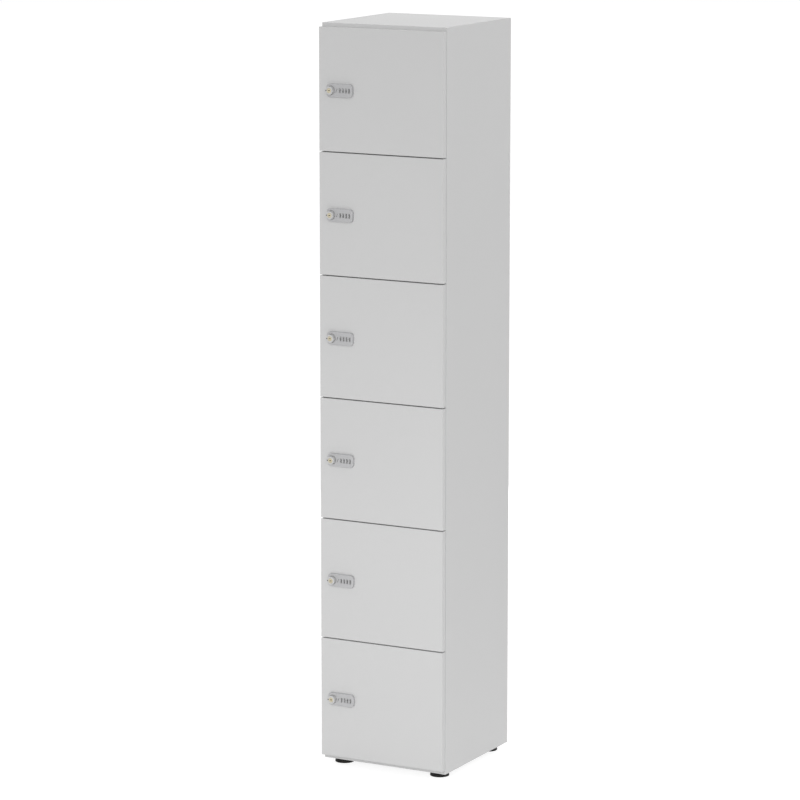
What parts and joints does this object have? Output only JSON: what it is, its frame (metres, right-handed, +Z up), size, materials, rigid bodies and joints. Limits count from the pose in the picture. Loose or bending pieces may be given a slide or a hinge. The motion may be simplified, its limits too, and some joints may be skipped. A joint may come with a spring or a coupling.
{
  "type": "locker",
  "caption": "Tall narrow office locker of stacked compartments: flat grey overlay doors on concealed hinges, each with a code-wheel lock and turning knob, on low round levelling feet.",
  "frame": {"origin": "on the floor, under the middle of the box round the whole locker", "axes": "+Z up, the doors face -Y, +X to the right of someone facing the doors"},
  "size_m": [0.4, 0.441, 2.177],
  "materials": {
    "grey_melamine": "light grey melamine-faced chipboard with a fine matt grain and matching edge bands",
    "back_board": "light grey faced fibreboard, matt",
    "hinge_steel": "nickel-plated pressed steel",
    "fitting_zinc": "plain die-cast zinc",
    "lock_zinc": "die-cast zinc with a satin silver-grey coat",
    "knob_metal": "satin nickel knob with a brass key plug",
    "wheel_plastic": "black moulded plastic with white numerals",
    "foot_plastic": "black moulded plastic with a fine grain"
  },
  "bodies": {
    "carcass": {"side_panel_left": "grey_melamine", "side_panel_right": "grey_melamine", "top_panel": "grey_melamine", "bottom_panel": "grey_melamine", "back_panel": "back_board", "shelves": "grey_melamine", "hinge_arms": "hinge_steel", "carcass_fittings": "fitting_zinc"},
    "door_1": {"door_panel_1": "grey_melamine", "hinge_cups_1": "hinge_steel", "lock_body_1": "lock_zinc"},
    "door_2": {"door_panel_2": "grey_melamine", "hinge_cups_2": "hinge_steel", "lock_body_2": "lock_zinc"},
    "door_3": {"door_panel_3": "grey_melamine", "hinge_cups_3": "hinge_steel", "lock_body_3": "lock_zinc"},
    "door_4": {"door_panel_4": "grey_melamine", "hinge_cups_4": "hinge_steel", "lock_body_4": "lock_zinc"},
    "door_5": {"door_panel_5": "grey_melamine", "hinge_cups_5": "hinge_steel", "lock_body_5": "lock_zinc"},
    "door_6": {"door_panel_6": "grey_melamine", "hinge_cups_6": "hinge_steel", "lock_body_6": "lock_zinc"},
    "knob_1": {"lock_knob_1": "knob_metal"},
    "knob_2": {"lock_knob_2": "knob_metal"},
    "knob_3": {"lock_knob_3": "knob_metal"},
    "knob_4": {"lock_knob_4": "knob_metal"},
    "knob_5": {"lock_knob_5": "knob_metal"},
    "knob_6": {"lock_knob_6": "knob_metal"},
    "foot_front_left": {"levelling_foot_front_left": "foot_plastic"},
    "foot_front_right": {"levelling_foot_front_right": "foot_plastic"},
    "foot_rear_left": {"levelling_foot_rear_left": "foot_plastic"},
    "foot_rear_right": {"levelling_foot_rear_right": "foot_plastic"},
    "wheel_1_1": {"code_wheel_1_1": "wheel_plastic"},
    "wheel_1_2": {"code_wheel_1_2": "wheel_plastic"},
    "wheel_1_3": {"code_wheel_1_3": "wheel_plastic"},
    "wheel_1_4": {"code_wheel_1_4": "wheel_plastic"},
    "wheel_2_1": {"code_wheel_2_1": "wheel_plastic"},
    "wheel_2_2": {"code_wheel_2_2": "wheel_plastic"},
    "wheel_2_3": {"code_wheel_2_3": "wheel_plastic"},
    "wheel_2_4": {"code_wheel_2_4": "wheel_plastic"},
    "wheel_3_1": {"code_wheel_3_1": "wheel_plastic"},
    "wheel_3_2": {"code_wheel_3_2": "wheel_plastic"},
    "wheel_3_3": {"code_wheel_3_3": "wheel_plastic"},
    "wheel_3_4": {"code_wheel_3_4": "wheel_plastic"},
    "wheel_4_1": {"code_wheel_4_1": "wheel_plastic"},
    "wheel_4_2": {"code_wheel_4_2": "wheel_plastic"},
    "wheel_4_3": {"code_wheel_4_3": "wheel_plastic"},
    "wheel_4_4": {"code_wheel_4_4": "wheel_plastic"},
    "wheel_5_1": {"code_wheel_5_1": "wheel_plastic"},
    "wheel_5_2": {"code_wheel_5_2": "wheel_plastic"},
    "wheel_5_3": {"code_wheel_5_3": "wheel_plastic"},
    "wheel_5_4": {"code_wheel_5_4": "wheel_plastic"},
    "wheel_6_1": {"code_wheel_6_1": "wheel_plastic"},
    "wheel_6_2": {"code_wheel_6_2": "wheel_plastic"},
    "wheel_6_3": {"code_wheel_6_3": "wheel_plastic"},
    "wheel_6_4": {"code_wheel_6_4": "wheel_plastic"}
  },
  "joints": [
    {"name": "door_1_swing", "type": "hinge", "parent": "carcass", "child": "door_1", "pos_m": [0.19357, -0.191, 1.98925], "axis": [0, 0, 1], "range_deg": [0, 95]},
    {"name": "door_2_swing", "type": "hinge", "parent": "carcass", "child": "door_2", "pos_m": [0.19357, -0.191, 1.63275], "axis": [0, 0, 1], "range_deg": [0, 95]},
    {"name": "door_3_swing", "type": "hinge", "parent": "carcass", "child": "door_3", "pos_m": [0.19357, -0.191, 1.27625], "axis": [0, 0, 1], "range_deg": [0, 95]},
    {"name": "door_4_swing", "type": "hinge", "parent": "carcass", "child": "door_4", "pos_m": [0.19357, -0.191, 0.91975], "axis": [0, 0, 1], "range_deg": [0, 95]},
    {"name": "door_5_swing", "type": "hinge", "parent": "carcass", "child": "door_5", "pos_m": [0.19357, -0.191, 0.56325], "axis": [0, 0, 1], "range_deg": [0, 95]},
    {"name": "door_6_swing", "type": "hinge", "parent": "carcass", "child": "door_6", "pos_m": [0.19357, -0.191, 0.20675], "axis": [0, 0, 1], "range_deg": [0, 95]},
    {"name": "knob_1_turn", "type": "hinge", "parent": "door_1", "child": "knob_1", "pos_m": [-0.156, -0.2205, 1.988], "axis": [0, 1, 0], "range_deg": [0, 90]},
    {"name": "knob_2_turn", "type": "hinge", "parent": "door_2", "child": "knob_2", "pos_m": [-0.156, -0.2205, 1.6315], "axis": [0, 1, 0], "range_deg": [0, 90]},
    {"name": "knob_3_turn", "type": "hinge", "parent": "door_3", "child": "knob_3", "pos_m": [-0.156, -0.2205, 1.275], "axis": [0, 1, 0], "range_deg": [0, 90]},
    {"name": "knob_4_turn", "type": "hinge", "parent": "door_4", "child": "knob_4", "pos_m": [-0.156, -0.2205, 0.9185], "axis": [0, 1, 0], "range_deg": [0, 90]},
    {"name": "knob_5_turn", "type": "hinge", "parent": "door_5", "child": "knob_5", "pos_m": [-0.156, -0.2205, 0.562], "axis": [0, 1, 0], "range_deg": [0, 90]},
    {"name": "knob_6_turn", "type": "hinge", "parent": "door_6", "child": "knob_6", "pos_m": [-0.156, -0.2205, 0.2055], "axis": [0, 1, 0], "range_deg": [0, 90]},
    {"name": "foot_front_left_screw", "type": "slide", "parent": "carcass", "child": "foot_front_left", "axis": [0, 0, 1], "range_m": [-0.015, 0]},
    {"name": "foot_front_right_screw", "type": "slide", "parent": "carcass", "child": "foot_front_right", "axis": [0, 0, 1], "range_m": [-0.015, 0]},
    {"name": "foot_rear_left_screw", "type": "slide", "parent": "carcass", "child": "foot_rear_left", "axis": [0, 0, 1], "range_m": [-0.015, 0]},
    {"name": "foot_rear_right_screw", "type": "slide", "parent": "carcass", "child": "foot_rear_right", "axis": [0, 0, 1], "range_m": [-0.015, 0]},
    {"name": "wheel_1_1_turn", "type": "hinge", "parent": "door_1", "child": "wheel_1_1", "pos_m": [-0.1267, -0.2045, 1.988], "axis": [1, 0, 0], "continuous": true},
    {"name": "wheel_1_2_turn", "type": "hinge", "parent": "door_1", "child": "wheel_1_2", "pos_m": [-0.1169, -0.2045, 1.988], "axis": [1, 0, 0], "continuous": true},
    {"name": "wheel_1_3_turn", "type": "hinge", "parent": "door_1", "child": "wheel_1_3", "pos_m": [-0.1071, -0.2045, 1.988], "axis": [1, 0, 0], "continuous": true},
    {"name": "wheel_1_4_turn", "type": "hinge", "parent": "door_1", "child": "wheel_1_4", "pos_m": [-0.0973, -0.2045, 1.988], "axis": [1, 0, 0], "continuous": true},
    {"name": "wheel_2_1_turn", "type": "hinge", "parent": "door_2", "child": "wheel_2_1", "pos_m": [-0.1267, -0.2045, 1.6315], "axis": [1, 0, 0], "continuous": true},
    {"name": "wheel_2_2_turn", "type": "hinge", "parent": "door_2", "child": "wheel_2_2", "pos_m": [-0.1169, -0.2045, 1.6315], "axis": [1, 0, 0], "continuous": true},
    {"name": "wheel_2_3_turn", "type": "hinge", "parent": "door_2", "child": "wheel_2_3", "pos_m": [-0.1071, -0.2045, 1.6315], "axis": [1, 0, 0], "continuous": true},
    {"name": "wheel_2_4_turn", "type": "hinge", "parent": "door_2", "child": "wheel_2_4", "pos_m": [-0.0973, -0.2045, 1.6315], "axis": [1, 0, 0], "continuous": true},
    {"name": "wheel_3_1_turn", "type": "hinge", "parent": "door_3", "child": "wheel_3_1", "pos_m": [-0.1267, -0.2045, 1.275], "axis": [1, 0, 0], "continuous": true},
    {"name": "wheel_3_2_turn", "type": "hinge", "parent": "door_3", "child": "wheel_3_2", "pos_m": [-0.1169, -0.2045, 1.275], "axis": [1, 0, 0], "continuous": true},
    {"name": "wheel_3_3_turn", "type": "hinge", "parent": "door_3", "child": "wheel_3_3", "pos_m": [-0.1071, -0.2045, 1.275], "axis": [1, 0, 0], "continuous": true},
    {"name": "wheel_3_4_turn", "type": "hinge", "parent": "door_3", "child": "wheel_3_4", "pos_m": [-0.0973, -0.2045, 1.275], "axis": [1, 0, 0], "continuous": true},
    {"name": "wheel_4_1_turn", "type": "hinge", "parent": "door_4", "child": "wheel_4_1", "pos_m": [-0.1267, -0.2045, 0.9185], "axis": [1, 0, 0], "continuous": true},
    {"name": "wheel_4_2_turn", "type": "hinge", "parent": "door_4", "child": "wheel_4_2", "pos_m": [-0.1169, -0.2045, 0.9185], "axis": [1, 0, 0], "continuous": true},
    {"name": "wheel_4_3_turn", "type": "hinge", "parent": "door_4", "child": "wheel_4_3", "pos_m": [-0.1071, -0.2045, 0.9185], "axis": [1, 0, 0], "continuous": true},
    {"name": "wheel_4_4_turn", "type": "hinge", "parent": "door_4", "child": "wheel_4_4", "pos_m": [-0.0973, -0.2045, 0.9185], "axis": [1, 0, 0], "continuous": true},
    {"name": "wheel_5_1_turn", "type": "hinge", "parent": "door_5", "child": "wheel_5_1", "pos_m": [-0.1267, -0.2045, 0.562], "axis": [1, 0, 0], "continuous": true},
    {"name": "wheel_5_2_turn", "type": "hinge", "parent": "door_5", "child": "wheel_5_2", "pos_m": [-0.1169, -0.2045, 0.562], "axis": [1, 0, 0], "continuous": true},
    {"name": "wheel_5_3_turn", "type": "hinge", "parent": "door_5", "child": "wheel_5_3", "pos_m": [-0.1071, -0.2045, 0.562], "axis": [1, 0, 0], "continuous": true},
    {"name": "wheel_5_4_turn", "type": "hinge", "parent": "door_5", "child": "wheel_5_4", "pos_m": [-0.0973, -0.2045, 0.562], "axis": [1, 0, 0], "continuous": true},
    {"name": "wheel_6_1_turn", "type": "hinge", "parent": "door_6", "child": "wheel_6_1", "pos_m": [-0.1267, -0.2045, 0.2055], "axis": [1, 0, 0], "continuous": true},
    {"name": "wheel_6_2_turn", "type": "hinge", "parent": "door_6", "child": "wheel_6_2", "pos_m": [-0.1169, -0.2045, 0.2055], "axis": [1, 0, 0], "continuous": true},
    {"name": "wheel_6_3_turn", "type": "hinge", "parent": "door_6", "child": "wheel_6_3", "pos_m": [-0.1071, -0.2045, 0.2055], "axis": [1, 0, 0], "continuous": true},
    {"name": "wheel_6_4_turn", "type": "hinge", "parent": "door_6", "child": "wheel_6_4", "pos_m": [-0.0973, -0.2045, 0.2055], "axis": [1, 0, 0], "continuous": true}
  ]
}
